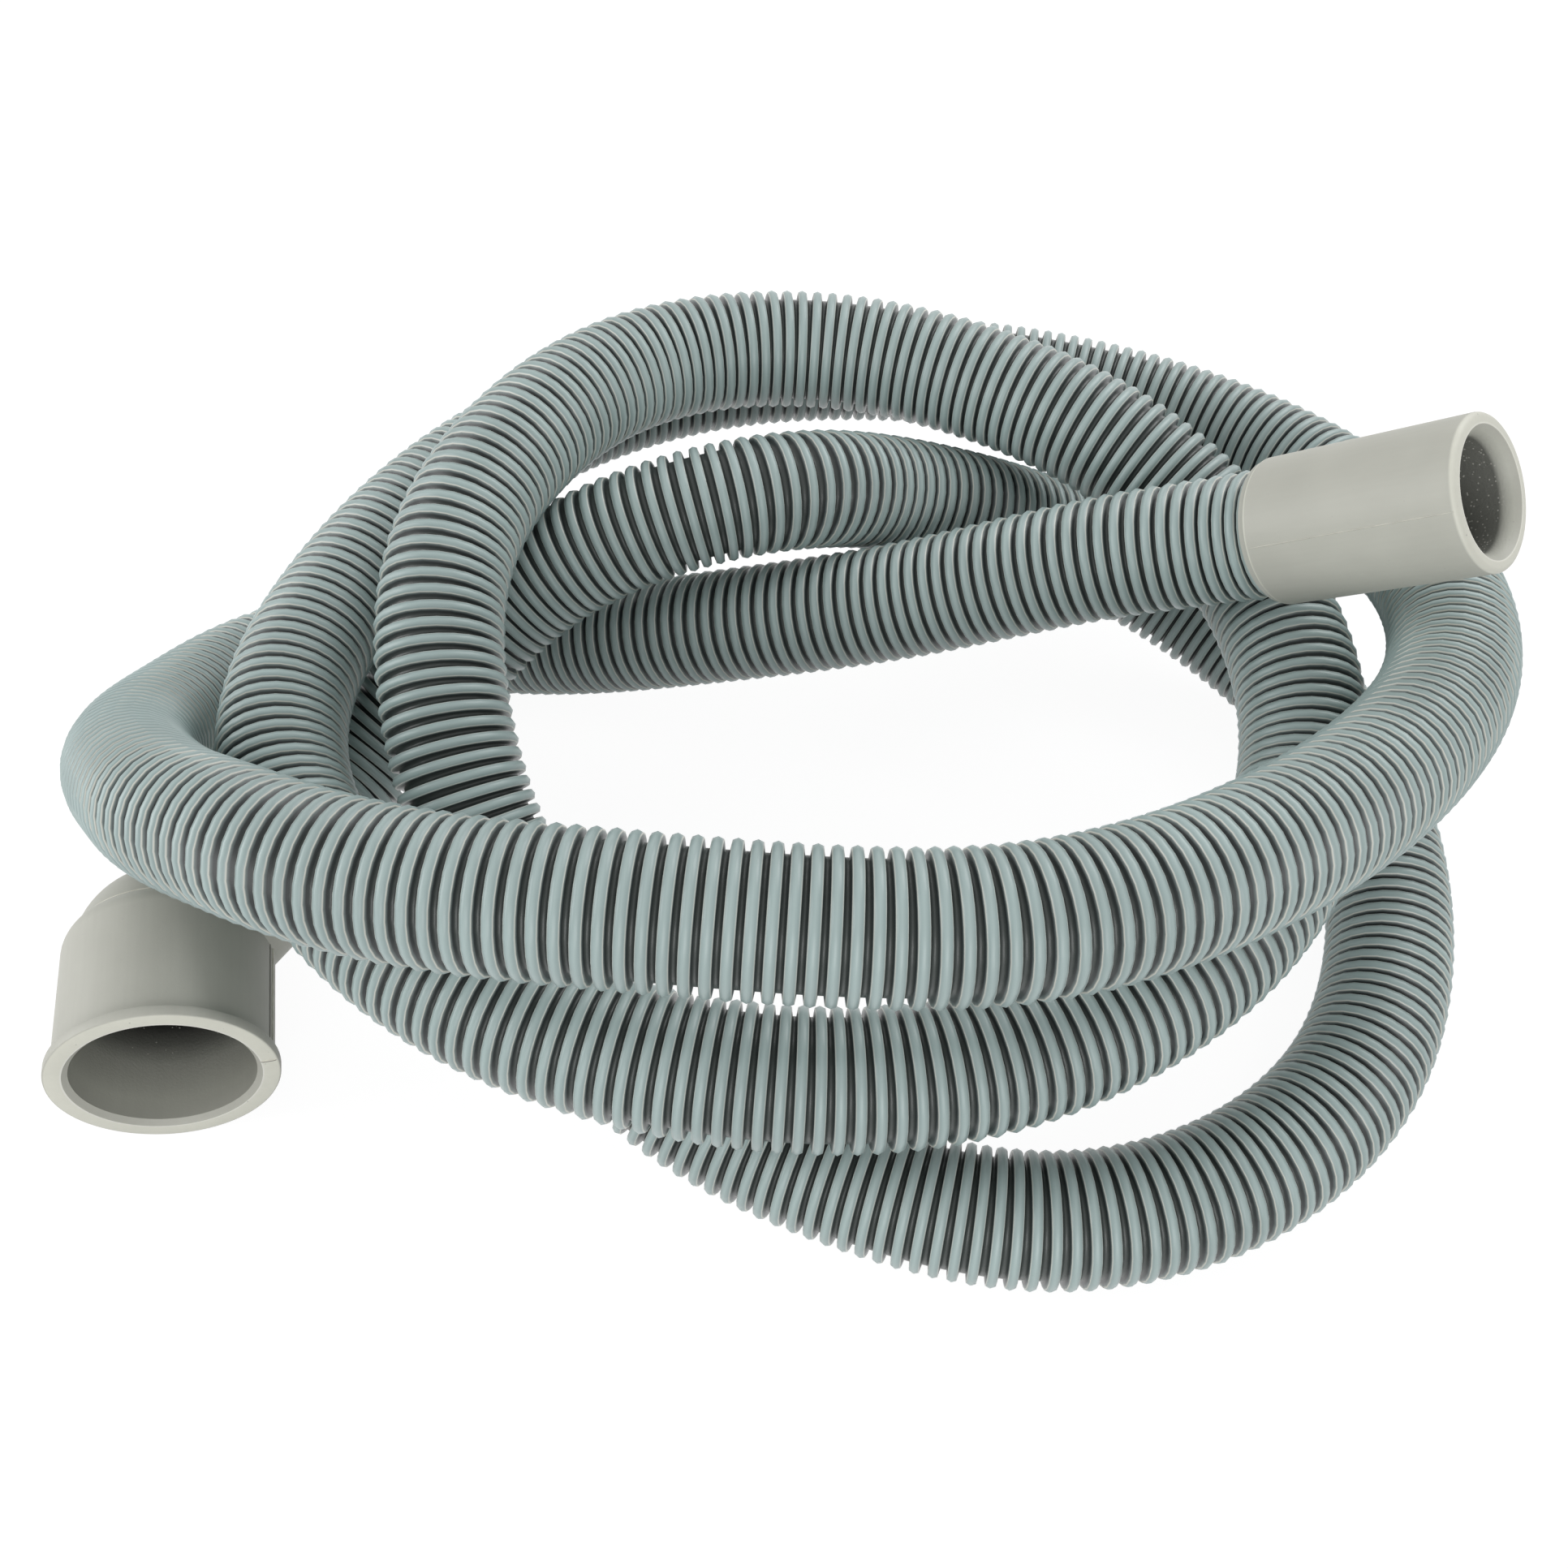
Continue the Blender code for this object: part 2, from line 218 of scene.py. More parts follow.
def quarterRound(radius, height, bevel, steps):
    # Corner of a profile rounded with the cosine and sine of a quarter turn, from the side over to the end.
    angle = np.linspace(0.0, 0.5 * math.pi, steps + 1)
    pairs = np.stack([radius - bevel + bevel * np.cos(angle), height - bevel + bevel * np.sin(angle)], axis=1)
    return [tuple(pair) for pair in pairs]


def turnedRings(profile, start, axis, sides):
    # Turned surface: each (radius, height) pair becomes a ring around the axis, at its height along it.
    profile = np.array(profile)
    sideways = unit(np.cross(axis, up))
    over = np.cross(sideways, axis)
    angle = np.linspace(0.0, math.tau, sides, endpoint=False)[None, :, None]
    around = np.cos(angle) * sideways + np.sin(angle) * over
    return start + profile[:, 1, None, None] * axis + profile[:, 0, None, None] * around


def turnedSolid(name, profile, start, axis, sides, smoothAngle=35.0):
    # A profile with a hole through it joins its last ring to its first; one that starts and ends on the
    # axis gets its small end rings closed by merging them.
    rings = turnedRings(profile, start, axis, sides)
    item = makeMesh(name, rings.reshape(-1, 3), ringFaces(len(profile), sides, True), smoothAngle)
    shape = bmesh.new()
    shape.from_mesh(item.data)
    bmesh.ops.remove_doubles(shape, verts=shape.verts, dist=mergeDistance)
    bmesh.ops.recalc_face_normals(shape, faces=shape.faces)
    shape.to_mesh(item.data)
    shape.free()
    item.data.shade_smooth()
    item.data.set_sharp_from_angle(angle=math.radians(smoothAngle))
    return item


# Mould seam: a thin bead. No seam runs along offLine, so it gives every bead a sideways direction.
seamBead = dict(sides=8, tipShare=0.3, offLine=(0.31, 0.22, 0.93))


def thinSeam(name, points, radius, bead=seamBead):
    # Flash line left by the mould: a thin round bead along the given points, with narrow closed ends. Each
    # ring turns from aside to over with the cosine and sine of its angle.
    points, sides = np.array(points), bead["sides"]
    ways = np.gradient(points, axis=0)
    ways /= np.linalg.norm(ways, axis=1)[:, None]
    aside = np.cross(ways, bead["offLine"])
    aside /= np.linalg.norm(aside, axis=1)[:, None]
    over = np.cross(aside, ways)
    angle = np.linspace(0.0, math.tau, sides, endpoint=False)[None, :, None]
    around = np.cos(angle) * aside[:, None] + np.sin(angle) * over[:, None]
    size = np.full(len(points), radius)
    size[[0, -1]] = bead["tipShare"] * radius
    rings = points[:, None] + size[:, None, None] * around
    faces = ringFaces(len(points), sides, False)
    faces.append(list(range(sides))[::-1])
    faces.append(list(range((len(points) - 1) * sides, len(points) * sides)))
    return makeMesh(name, rings.reshape(-1, 3), faces)


def fromAxis(item, start, axis):
    # Each point's height along an axis, and its distance from that axis.
    points = np.empty(3 * len(item.data.vertices))
    item.data.vertices.foreach_get("co", points)
    away = points.reshape(-1, 3) - start
    height = away @ axis
    return height, np.linalg.norm(away - height[:, None] * axis, axis=1)


def paintLightAndShade(item, values):
    # Painted light and shade at each point, which the rubber's material reads: 0 for the painted shade deep
    # in a bore, 1 for the painted highlight at an end face.
    paintedLight = item.data.attributes.new("paintedLight", "FLOAT", "POINT")
    paintedLight.data.foreach_set("value", np.asarray(values, dtype=np.float32))


# Straight cuff: a sleeve. Its heights run from the hose's side to the mouth. A fade is how far from an edge
# its painted highlight ends.
straightCuff = dict(
    sides=120, length=0.0365, radius=0.0123, socket=0.0113, socketDepth=0.0223, bore=0.0090,
    lipLength=0.0012, lipDrop=0.00075, lipSlope=0.0002, lipFade=0.0003,
    lipProfile=[(1.0, 0.0), (0.5, 0.25), (0.2, 1.0)],  # (share of the drop, share of the length) pairs
    sideInset=0.004, sideRings=6, edge=0.0009, edgeSteps=4,
    mouthBevel=0.0013, bevelDepth=0.0018, mouthFade=0.0004, mouthChamfer=0.0001,
    taper=0.00012, taperDepth=0.0013,  # how the bore narrows past the bevel
    faceShare=0.62,  # share of the rounded edge that gets the end face's painted light
    # Painted light and shade: highlights at the mouth's edge and the lip, light on the end face, shade on the
    # bevel and down the bore.
    edgeHighlight=1.0, faceLight=0.8, bevelShade=0.32, boreShade=0.11, lipHighlight=0.8,
    seamTurn=20.0, seamRadius=0.00009, seamStart=0.0004, seamEnd=0.0006, seamRings=12,
)


def makeStraightCuff(spec, route):
    # Sleeve in one closed profile: lip, side, rounded mouth, bevelled bore, ledge and socket.
    start = np.array(route[cuffHold])
    axis = unit(np.array(route[0]) - start)
    length, radius, bore = spec["length"], spec["radius"], spec["bore"]
    socket, socketDepth, chamfer = spec["socket"], spec["socketDepth"], spec["mouthChamfer"]
    lipTop = spec["lipLength"] + spec["lipSlope"]
    mouth, bevelEnd = bore + spec["mouthBevel"], length - spec["bevelDepth"]
    profile = [(socket, 0.0)]
    profile += [(radius - drop * spec["lipDrop"], rise * spec["lipLength"])
                for drop, rise in spec["lipProfile"]]
    profile += [(radius, lipTop), (radius, lipTop + spec["lipFade"])]
    sideHeights = np.linspace(spec["sideInset"], length - spec["sideInset"], spec["sideRings"])
    profile += [(radius, height) for height in sideHeights]
    profile += quarterRound(radius, length, spec["edge"], spec["edgeSteps"])
    profile += [(mouth + spec["mouthFade"], length), (mouth + chamfer, length), (mouth, length - chamfer)]
    profile += [(bore + spec["taper"], bevelEnd), (bore, bevelEnd - spec["taperDepth"])]
    profile += [(bore, socketDepth), (socket, socketDepth)]
    cuff = turnedSolid("straightCuff", profile, start, axis, spec["sides"])

    height, reach = fromAxis(cuff, start, axis)
    onFace = (height > length - spec["faceShare"] * spec["edge"]) & (reach > mouth + tolerance)
    onEdge = onFace & (reach < mouth + chamfer + tolerance)
    onBevel = (np.abs(height - bevelEnd) < tolerance) & (reach < mouth)
    inBore = (height > socketDepth - tolerance) & (height < bevelEnd - tolerance) & (reach < bore + tolerance)
    onLip = (np.abs(height - lipTop) < tolerance) & (reach > radius - tolerance)
    lightLevels = [spec["edgeHighlight"], spec["faceLight"], spec["bevelShade"], spec["boreShade"],
                spec["lipHighlight"]]
    paintLightAndShade(cuff, np.select([onEdge, onFace, onBevel, inBore, onLip], lightLevels, sideLightLevel))

    sideways = unit(np.cross(axis, up))
    over = np.cross(sideways, axis)
    turn = math.radians(spec["seamTurn"])
    outwards = math.cos(turn) * sideways + math.sin(turn) * over
    heights = np.linspace(spec["lipLength"] + spec["seamStart"], length - spec["seamEnd"], spec["seamRings"])
    line = start + heights[:, None] * axis + radius * outwards
    return cuff, thinSeam("straightCuffSeam", line, spec["seamRadius"])


# Elbow cuff: a cup with a rim, a ball at the corner, and a limb around the hose. The cup's heights run
# inwards from its mouth, and the limb's from the hose's side.
elbowCuff = dict(
    sides=128, smoothAngle=30.0, cupHeading=101.2, cornerInset=0.0039,
    rimRadius=0.0184, rimThickness=0.0020, rimEdge=0.00035, rimSteps=3, rimTurn=0.3, lipFade=0.0003,
    cupRadius=0.0174, cupLength=0.0285, cupFoot=0.0003, shoulder=0.0050, shoulderSteps=12,
    cupBore=0.0146, boreDepth=0.0240, mouthBevel=0.0009, lipChamfer=0.00006,
    limbRadius=0.0142, limbLength=0.0340, limbEdge=0.0006, ballRadius=0.0158, ballRings=25,
    socket=0.0113, socketDepth=0.0205, waterway=0.0092,
    overrun=0.002,  # how far outside its opening a boring form starts
    # Painted light and shade: a highlight at the mouth's lip, light on the rim's face, shade down the socket
    # and waterway.
    lipHighlight=1.0, faceLight=0.9, deepShade=0.1,
    seamRadius=0.00014, seamGap=0.0004, seamRings=12, rimSeamRings=8, flashRadius=0.00028,
    stepTurn=5.0, seamShift=0.00022,  # how far the dark seams, painted shadows, lie from the pale ones
    weldSamples=400, weldRings=160,
)


def cutOrJoin(body, other, operation):
    # Joins the other solid to the body, or cuts it away, and removes the other solid.
    modifier = body.modifiers.new(operation, "BOOLEAN")
    modifier.operation = operation
    modifier.solver = "EXACT"
    modifier.object = other
    evaluated = body.evaluated_get(bpy.context.evaluated_depsgraph_get())
    result = bpy.data.meshes.new_from_object(evaluated)
    body.modifiers.clear()
    body.data = result
    bpy.data.objects.remove(other, do_unlink=True)


def makeElbowCuff(spec, route):
    # Cup, ball and limb turned round their own axes and joined, then bored from the mouth and the limb.
    sides, rim, edge, thickness = spec["sides"], spec["rimRadius"], spec["rimEdge"], spec["rimThickness"]
    cupRadius, cupLength, foot = spec["cupRadius"], spec["cupLength"], spec["cupFoot"]
    shoulder, shoulderSteps = spec["shoulder"], spec["shoulderSteps"]
    limbRadius, ball, limbLength = spec["limbRadius"], spec["ballRadius"], spec["limbLength"]
    limbRim = np.array(route[-1 - cuffHold])
    limbWay = unit(np.array(route[-1]) - limbRim)
    corner = limbRim + limbWay * limbLength
    heading = math.radians(spec["cupHeading"])
    level = np.array((math.cos(heading), math.sin(heading), 0.0))
    mouth = corner - level * (cupLength - spec["cornerInset"])
    mouth[2] = rim  # the rim stands on the floor
    inward = unit(corner - mouth)
    bore, bevel, boreDepth = spec["cupBore"], spec["mouthBevel"], spec["boreDepth"]
    lip = bore + bevel

    turn = spec["rimTurn"] * edge
    cup = [(0.0, 0.0), (lip + spec["lipFade"], 0.0), (rim - edge, 0.0), (rim - turn, turn), (rim, edge)]
    cup += quarterRound(rim, thickness, edge, spec["rimSteps"])
    cup += [(cupRadius + foot, thickness), (cupRadius, thickness + foot)]
    cup += quarterRound(cupRadius, cupLength, shoulder, shoulderSteps) + [(0.0, cupLength)]
    body = turnedSolid("elbowCuff", cup, mouth, inward, sides)

    # The ball is a turned arc from where it meets the limb to its far pole.
    angle = np.linspace(math.asin(limbRadius / ball), math.pi, spec["ballRings"])
    limb = [(0.0, 0.0), (limbRadius - spec["limbEdge"], 0.0), (limbRadius, spec["limbEdge"])]
    arc = np.stack([ball * np.sin(angle), limbLength - ball * np.cos(angle)], axis=1)
    limb += [tuple(pair) for pair in arc]
    limb[-1] = (0.0, limbLength + ball)
    cutOrJoin(body, turnedSolid("limbForm", limb, limbRim, limbWay, sides), "UNION")

    overrun, chamfer = spec["overrun"], spec["lipChamfer"]
    hollow = [(0.0, -overrun), (lip, -overrun), (lip, 0.0), (lip - chamfer, chamfer), (bore, bevel)]
    hollow += quarterRound(bore, boreDepth, shoulder, shoulderSteps) + [(0.0, boreDepth)]
    cutOrJoin(body, turnedSolid("cupBoreForm", hollow, mouth, inward, sides), "DIFFERENCE")
    socket, socketDepth, waterway = spec["socket"], spec["socketDepth"], spec["waterway"]
    hollow = [(0.0, -overrun), (socket, -overrun), (socket, socketDepth)]
    hollow += [(waterway, socketDepth), (waterway, limbLength), (0.0, limbLength)]
    cutOrJoin(body, turnedSolid("waterwayForm", hollow, limbRim, limbWay, sides), "DIFFERENCE")
    body.data.shade_smooth()
    body.data.set_sharp_from_angle(angle=math.radians(spec["smoothAngle"]))

    # Painted shade: the cup's bore darkens evenly from its bevel to about the start of its rounded end.
    height, reach = fromAxis(body, mouth, inward)
    limbHeight, limbReach = fromAxis(body, limbRim, limbWay)
    onLip = (height < tolerance) & (reach < lip + tolerance)
    onFace = (height < tolerance) & (reach < rim - 0.5 * edge)
    inCup = (height > tolerance) & (height < boreDepth + tolerance) & (reach < lip - 2.0 * tolerance)
    inSocket = (limbHeight < socketDepth + tolerance) & (limbReach < socket + tolerance)
    inWaterway = (limbHeight < limbLength) & (limbReach < waterway + tolerance)
    depth = np.clip(sideLightLevel * (1.0 - (height - bevel) / (boreDepth - shoulder)), 0.0, sideLightLevel)
    lightLevels = [spec["lipHighlight"], spec["faceLight"], depth, spec["deepShade"]]
    paintLightAndShade(body, np.select([onLip, onFace, inCup, inSocket | inWaterway], lightLevels, sideLightLevel))
    return body, mouth, inward, corner, limbRim, limbWay


hoseRoute = hose["route"]
cuffMesh, cuffSeam = makeStraightCuff(straightCuff, hoseRoute)
elbowMesh, cupMouth, cupInward, elbowCorner, limbRim, limbWay = makeElbowCuff(elbowCuff, hoseRoute)
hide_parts("straight_cuff")
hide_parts("elbow_cuff")


def makeElbowSeams(spec, mouth, inward, corner, limbRim, limbWay):
    # Flash lines in the elbow's plane of symmetry, on both sides of the cup and across the rim's face, with a
    # dark line beside two of them as their painted shadow, and the weld line where the ball leaves the cup's
    # shoulder.
    flat = unit(np.cross(inward, up))
    over = np.cross(flat, inward)
    step = math.radians(spec["stepTurn"])
    shoulder = spec["shoulder"]
    depths = np.linspace(spec["rimThickness"] + spec["seamGap"], spec["cupLength"] - shoulder,
                         spec["seamRings"])
    lines = [mouth + depths[:, None] * inward + spec["cupRadius"] * outwards
             for outwards in (flat, -flat, math.cos(step) * flat + math.sin(step) * over)]
    lip, rimEdge = spec["cupBore"] + spec["mouthBevel"], spec["rimRadius"] - spec["rimEdge"]
    acrossRim = mouth + np.linspace(lip, rimEdge, spec["rimSeamRings"])[:, None] * flat
    lines += [acrossRim, acrossRim - spec["seamShift"] * over]

    # The weld circles the cup's axis where the shoulder's round is as far from the corner as the ball.
    arc = np.linspace(0.0, 0.5 * math.pi, spec["weldSamples"])
    radius = spec["cupRadius"] - shoulder + shoulder * np.cos(arc)
    height = shoulder * np.sin(arc) - shoulder + spec["cornerInset"]
    meet = np.argmin(np.abs(np.hypot(radius, height) - spec["ballRadius"]))
    turn = np.linspace(0.0, math.tau, spec["weldRings"])
    ring = np.cos(turn)[:, None] * flat + np.sin(turn)[:, None] * over
    weld = corner + height[meet] * inward + radius[meet] * ring
    # Only its part outside the limb is kept, from the place where it comes out of the limb.
    fromLimb = weld - limbRim
    along = fromLimb @ limbWay
    beside = np.linalg.norm(fromLimb - along[:, None] * limbWay, axis=1)
    free = (along > spec["limbLength"]) | (beside > spec["limbRadius"] - spec["seamRadius"])
    first = np.argmax(free & ~np.roll(free, 1)) if not free.all() else 0
    lines.append(np.roll(weld, -first, axis=0)[:free.sum()])

    radii = [spec["flashRadius"]] + [spec["seamRadius"]] * (len(lines) - 1)
    return [thinSeam("elbowSeam%d" % number, line, radius)
            for number, (line, radius) in enumerate(zip(lines, radii), start=1)]


elbowSeams = makeElbowSeams(elbowCuff, cupMouth, cupInward, elbowCorner, limbRim, limbWay)
for piece in [cuffMesh, cuffSeam, elbowMesh] + elbowSeams:
    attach(piece, "root")
print("cuffs made, %d faces" % (len(cuffMesh.data.polygons) + len(elbowMesh.data.polygons)))


def linearColour(code):
    # sRGB hex to linear: each channel is divided by 12.92 when dark and raised to 2.4 when bright.
    channels = [int(code[start:start + 2], 16) / 255.0 for start in (0, 2, 4)]
    linear = [c / 12.92 if c <= 0.04045 else ((c + 0.055) / 1.055) ** 2.4 for c in channels]
    return (*linear, 1.0)


def addNode(material, kind, settings=None, links=None):
    # Adds a node, sets its values or properties by name, and links its inputs to other nodes' outputs.
    node = material.node_tree.nodes.new(kind)
    for name, value in (settings or {}).items():
        if isinstance(name, int) or name in node.inputs:
            node.inputs[name].default_value = value
        else:
            setattr(node, name, value)
    for name, (source, output) in (links or {}).items():
        material.node_tree.links.new(source.outputs[output], node.inputs[name])
    return node


def newMaterial(name):
    material = bpy.data.materials.new(name)
    material.use_nodes = True
    material.node_tree.nodes.clear()
    return material


def setRamp(node, stops):
    # Replaces the stops of a colour ramp with (place, hex) pairs.
    ramp = node.color_ramp
    while len(ramp.elements) > 1:
        ramp.elements.remove(ramp.elements[-1])
    ramp.elements[0].position = stops[0][0]
    ramp.elements[0].color = linearColour(stops[0][1])
    for place, code in stops[1:]:
        ramp.elements.new(place).color = linearColour(code)
    return node


lowNoise, highNoise = 0.3, 0.7  # most of a noise texture's values lie between these

# Blown polypropylene: satin teal grey with faint cloudy patches, with a painted highlight across the middle
# of each crown and a pale painted highlight along the edges of each rib, and painted shade dark down in the
# grooves. The tones are (depth as a share of the groove, colour) pairs.
blownPolypropylene = dict(
    tones=[(0.0, "B0C2C0"), (0.15, "9EB0AF"), (0.185, "B4C1BE"), (0.215, "ECEBE1"), (0.27, "D2D4CB"),
           (0.38, "74807F"), (0.65, "303637"), (0.90, "363C3C"), (1.0, "484E4C")],
    cloudSize=0.018, cloudDetail=3.0, cloudTint=(0.92, 1.06), roughness=0.34, ior=1.49)


def makeHoseMaterial(look):
    material = newMaterial("blownPolypropylene")
    place = addNode(material, "ShaderNodeTexCoord")
    clouds = addNode(material, "ShaderNodeTexNoise",
                     {"Scale": 1.0 / look["cloudSize"], "Detail": look["cloudDetail"]},
                     {"Vector": (place, "Object")})
    grooved = addNode(material, "ShaderNodeAttribute", {"attribute_name": "grooved"})
    # Painted light: the ramp paints highlights on the crowns and rib edges and shade down the grooves.
    base = setRamp(addNode(material, "ShaderNodeValToRGB", {}, {"Fac": (grooved, "Fac")}), look["tones"])
    dark, pale = look["cloudTint"]
    tint = addNode(material, "ShaderNodeMapRange",
                   {"From Min": lowNoise, "From Max": highNoise, "To Min": dark, "To Max": pale},
                   {"Value": (clouds, "Fac")})
    shade = addNode(material, "ShaderNodeHueSaturation", {},
                    {"Color": (base, "Color"), "Value": (tint, "Result")})
    shader = addNode(material, "ShaderNodeBsdfPrincipled",
                     {"Roughness": look["roughness"], "IOR": look["ior"]},
                     {"Base Color": (shade, "Color")})
    addNode(material, "ShaderNodeOutputMaterial", {}, {"Surface": (shader, "BSDF")})
    return material


# Moulded rubber: satin warm grey with a fine grain and faint flow marks, with painted light on the end faces
# and painted shade darker down a bore. The tones are (painted light level, colour) pairs. The specks are bits
# of pale dust. Grain and specks are too fine to show at their real size, so they are drawn coarser.
mouldedRubber = dict(
    tones=[(0.0, "2B2B29"), (0.11, "74756F"), (0.22, "B2B3AA"), (0.40, "C6C7BC"), (0.5, "C1C1B7"),
           (0.9, "E8E8DB"), (1.0, "F7F6EF")],
    cloudSize=0.012, cloudDetail=4.0, cloudTint=(0.96, 1.03),
    flowLength=0.020, flowWidth=0.0011, flowTint=(0.985, 1.012), fineDetail=2.0,
    speck="BDBCB4", speckSpacing=0.0006, speckSize=0.00016, speckCore=0.6, boreSpecks=0.9, sideSpecks=0.02,
    grain=0.00045, grainHeight=0.0001, boreGrain=0.9, sideGrain=0.12, roughness=0.50, ior=1.50)
# The elbow's wide cup is cleaner than the straight cuff's bore.
elbowRubber = dict(mouldedRubber, boreSpecks=0.06)


def makeRubberMaterial(name, look, flow):
    # Flow marks are noise drawn out along the way that the rubber filled the mould.
    material = newMaterial(name)
    place = addNode(material, "ShaderNodeTexCoord")
    clouds = addNode(material, "ShaderNodeTexNoise",
                     {"Scale": 1.0 / look["cloudSize"], "Detail": look["cloudDetail"]},
                     {"Vector": (place, "Object")})
    turn = Vector((1.0, 0.0, 0.0)).rotation_difference(Vector(flow)).to_euler()
    stretch = (look["flowLength"], look["flowWidth"], look["flowWidth"])
    along = addNode(material, "ShaderNodeMapping",
                    {"vector_type": "TEXTURE", "Rotation": turn, "Scale": stretch},
                    {"Vector": (place, "Object")})
    streaks = addNode(material, "ShaderNodeTexNoise", {"Scale": 1.0, "Detail": look["fineDetail"]},
                      {"Vector": (along, "Vector")})
    dark, pale = look["cloudTint"]
    cloudTint = addNode(material, "ShaderNodeMapRange",
                        {"From Min": lowNoise, "From Max": highNoise, "To Min": dark, "To Max": pale},
                        {"Value": (clouds, "Fac")})
    dark, pale = look["flowTint"]
    flowTint = addNode(material, "ShaderNodeMapRange",
                       {"From Min": lowNoise, "From Max": highNoise, "To Min": dark, "To Max": pale},
                       {"Value": (streaks, "Fac")})
    tint = addNode(material, "ShaderNodeMath", {"operation": "MULTIPLY"},
                   {0: (cloudTint, "Result"), 1: (flowTint, "Result")})
    paintedLight = addNode(material, "ShaderNodeAttribute", {"attribute_name": "paintedLight"})
    base = setRamp(addNode(material, "ShaderNodeValToRGB", {}, {"Fac": (paintedLight, "Fac")}), look["tones"])
    shade = addNode(material, "ShaderNodeHueSaturation", {}, {"Color": (base, "Color"), "Value": (tint, 0)})
    # A speck fills the middle of a cell; few cells on the sides have one, and most down the bore.
    cells = addNode(material, "ShaderNodeTexVoronoi", {"Scale": 1.0 / look["speckSpacing"]},
                    {"Vector": (place, "Object")})
    share = look["speckSize"] / look["speckSpacing"]
    near = addNode(material, "ShaderNodeMapRange",
                   {"From Min": look["speckCore"] * share, "From Max": share, "To Min": 1.0, "To Max": 0.0},
                   {"Value": (cells, "Distance")})
    pick = addNode(material, "ShaderNodeSeparateColor", {}, {"Color": (cells, "Color")})
    rare = addNode(material, "ShaderNodeMapRange",
                   {"From Max": sideLightLevel, "To Min": look["boreSpecks"], "To Max": look["sideSpecks"]},
                   {"Value": (paintedLight, "Fac")})
    kept = addNode(material, "ShaderNodeMath", {"operation": "LESS_THAN"},
                   {0: (pick, "Red"), 1: (rare, "Result")})
    dust = addNode(material, "ShaderNodeMath", {"operation": "MULTIPLY"}, {0: (near, "Result"), 1: (kept, 0)})
    mixed = addNode(material, "ShaderNodeMix", {"data_type": "RGBA", 7: linearColour(look["speck"])},
                    {"Factor": (dust, 0), 6: (shade, "Color")})
    grain = addNode(material, "ShaderNodeTexNoise",
                    {"Scale": 1.0 / look["grain"], "Detail": look["fineDetail"]},
                    {"Vector": (place, "Object")})
    rough = addNode(material, "ShaderNodeMapRange",
                    {"From Max": sideLightLevel, "To Min": look["boreGrain"], "To Max": look["sideGrain"]},
                    {"Value": (paintedLight, "Fac")})
    bump = addNode(material, "ShaderNodeBump", {"Distance": look["grainHeight"]},
                   {"Strength": (rough, "Result"), "Height": (grain, "Fac")})
    shader = addNode(material, "ShaderNodeBsdfPrincipled",
                     {"Roughness": look["roughness"], "IOR": look["ior"]},
                     {"Base Color": (mixed, 2), "Normal": (bump, "Normal")})
    addNode(material, "ShaderNodeOutputMaterial", {}, {"Surface": (shader, "BSDF")})
    return material


# Flash at a mould's joint: the same rubber, painted paler as a highlight where the thin bead catches the
# light, or darker as the painted shadow beside a raised seam. The plain tone is painted a little paler than
# the sides to offset the bead's own shade. The kinds are those of the straight cuff's seam and of the elbow's
# six.
rubberFlash = dict(
    tones=dict(pale="EDEADD", shadowed="85837B", plain="D2D1C6"),
    kinds=["plain", "pale", "plain", "shadowed", "pale", "shadowed", "pale"],
    cloudSize=0.0025, cloudDetail=2.0, cloudTint=(0.85, 1.1), roughness=0.50, ior=1.50)


def makeFlashMaterial(name, look, code):
    material = newMaterial(name)
    place = addNode(material, "ShaderNodeTexCoord")
    clouds = addNode(material, "ShaderNodeTexNoise",
                     {"Scale": 1.0 / look["cloudSize"], "Detail": look["cloudDetail"]},
                     {"Vector": (place, "Object")})
    dark, pale = look["cloudTint"]
    tint = addNode(material, "ShaderNodeMapRange",
                   {"From Min": lowNoise, "From Max": highNoise, "To Min": dark, "To Max": pale},
                   {"Value": (clouds, "Fac")})
    shade = addNode(material, "ShaderNodeHueSaturation", {"Color": linearColour(code)},
                    {"Value": (tint, "Result")})
    shader = addNode(material, "ShaderNodeBsdfPrincipled",
                     {"Roughness": look["roughness"], "IOR": look["ior"]},
                     {"Base Color": (shade, "Color")})
    addNode(material, "ShaderNodeOutputMaterial", {}, {"Surface": (shader, "BSDF")})
    return material


straightFlow = unit(np.array(hoseRoute[0]) - np.array(hoseRoute[cuffHold]))
flash = {kind: makeFlashMaterial(kind + "RubberFlash", rubberFlash, code)
         for kind, code in rubberFlash["tones"].items()}
finishedPieces = [
    (drainHose, makeHoseMaterial(blownPolypropylene)),
    (cuffMesh, makeRubberMaterial("mouldedRubberCuff", mouldedRubber, straightFlow)),
    (elbowMesh, makeRubberMaterial("mouldedRubberElbow", elbowRubber, cupInward)),
]
finishedPieces += [(seam, flash[kind]) for seam, kind in zip([cuffSeam] + elbowSeams, rubberFlash["kinds"])]
for piece, material in finishedPieces:
    piece.data.materials.clear()
    piece.data.materials.append(material)
print("materials made")


# Studio: an even surround, a pale floor, and three broad soft lamps at the left, the front and the back
# right, as (place, power) pairs. To the camera the floor is shadowTone plus its glow, which is white with a
# faint shadow, and to the object it is floorTone. Gloss sees glossShare of the way from surround to white.
studio = dict(
    floorSize=3.0, floorTone="B0B0B0", shadowTone="707070", floorGlow=0.93, surround=0.50, glossShare=0.6,
    lampSize=0.5,
    lamps=[((-0.75, -0.05, 0.30), 2.4), ((0.05, -0.80, 0.28), 2.2), ((0.45, 0.45, 0.55), 2.4)],
)


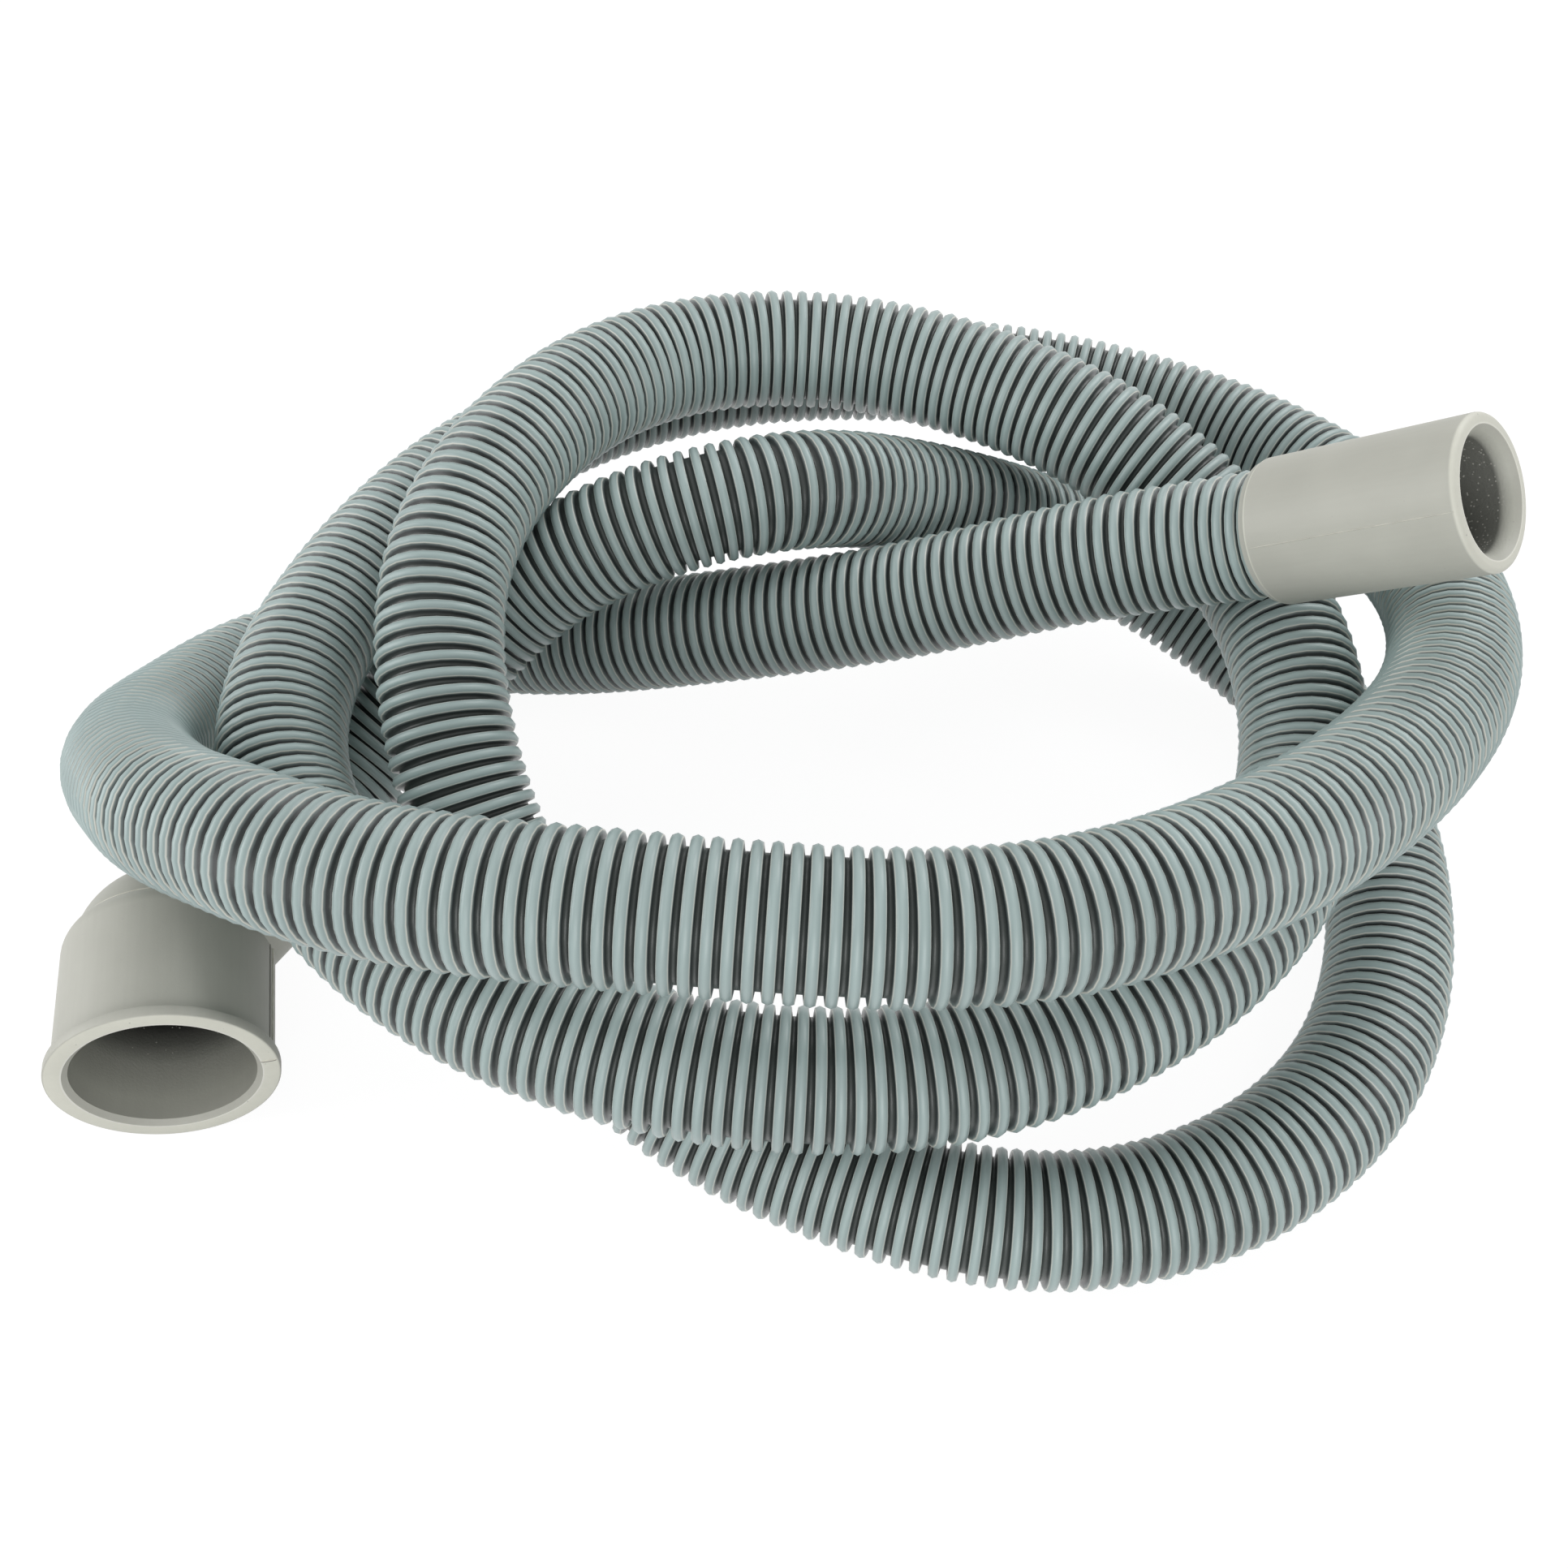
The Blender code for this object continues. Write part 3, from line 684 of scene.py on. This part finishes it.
def setStudio(look):
    half = 0.5 * look["floorSize"]
    corners = np.array([(-half, -half, 0.0), (half, -half, 0.0), (half, half, 0.0), (-half, half, 0.0)])
    floor = makeMesh("studioFloor", corners, [(0, 1, 2, 3)])
    material = newMaterial("matWhiteFloor")
    ray = addNode(material, "ShaderNodeLightPath")
    bounced = addNode(material, "ShaderNodeMath", {"operation": "MAXIMUM"},
                      {0: (ray, "Is Glossy Ray"), 1: (ray, "Is Transmission Ray")})
    seen = addNode(material, "ShaderNodeMath", {"operation": "MAXIMUM"},
                   {0: (ray, "Is Camera Ray"), 1: (bounced, 0)})
    tone = addNode(material, "ShaderNodeMix", {"data_type": "RGBA", 6: linearColour(look["floorTone"]),
                                               7: linearColour(look["shadowTone"])}, {"Factor": (seen, 0)})
    paint = addNode(material, "ShaderNodeBsdfDiffuse", {}, {"Color": (tone, 2)})
    power = addNode(material, "ShaderNodeMath", {"operation": "MULTIPLY", 1: look["floorGlow"]},
                    {0: (seen, 0)})
    glow = addNode(material, "ShaderNodeEmission", {}, {"Strength": (power, 0)})
    both = addNode(material, "ShaderNodeAddShader", {}, {0: (paint, "BSDF"), 1: (glow, "Emission")})
    addNode(material, "ShaderNodeOutputMaterial", {}, {"Surface": (both, "Shader")})
    floor.data.materials.append(material)

    world = bpy.data.worlds.new("whiteSurround")
    world.use_nodes = True
    world.node_tree.nodes.clear()
    scene.world = world
    ray = addNode(world, "ShaderNodeLightPath")
    bounced = addNode(world, "ShaderNodeMath", {"operation": "MAXIMUM"},
                      {0: (ray, "Is Glossy Ray"), 1: (ray, "Is Transmission Ray")})
    gloss = addNode(world, "ShaderNodeMath", {"operation": "MULTIPLY", 1: look["glossShare"]},
                    {0: (bounced, 0)})
    seen = addNode(world, "ShaderNodeMath", {"operation": "MAXIMUM"},
                   {0: (ray, "Is Camera Ray"), 1: (gloss, 0)})
    strength = addNode(world, "ShaderNodeMapRange", {"To Min": look["surround"], "To Max": 1.0},
                       {"Value": (seen, 0)})
    background = addNode(world, "ShaderNodeBackground", {"Color": (1.0, 1.0, 1.0, 1.0)},
                         {"Strength": (strength, "Result")})
    addNode(world, "ShaderNodeOutputWorld", {}, {"Surface": (background, "Background")})

    for number, (place, power) in enumerate(look["lamps"], start=1):
        lamp = bpy.data.lights.new("softLamp%d" % number, "AREA")
        lamp.shape = "SQUARE"
        lamp.size = look["lampSize"]
        lamp.energy = power
        item = bpy.data.objects.new("softLamp%d" % number, lamp)
        item.location = place
        item.rotation_euler = Vector(place).to_track_quat("Z", "Y").to_euler()  # shines at the origin
        scene.collection.objects.link(item)


setStudio(studio)
scene.view_settings.view_transform = "Standard"
print("studio set")
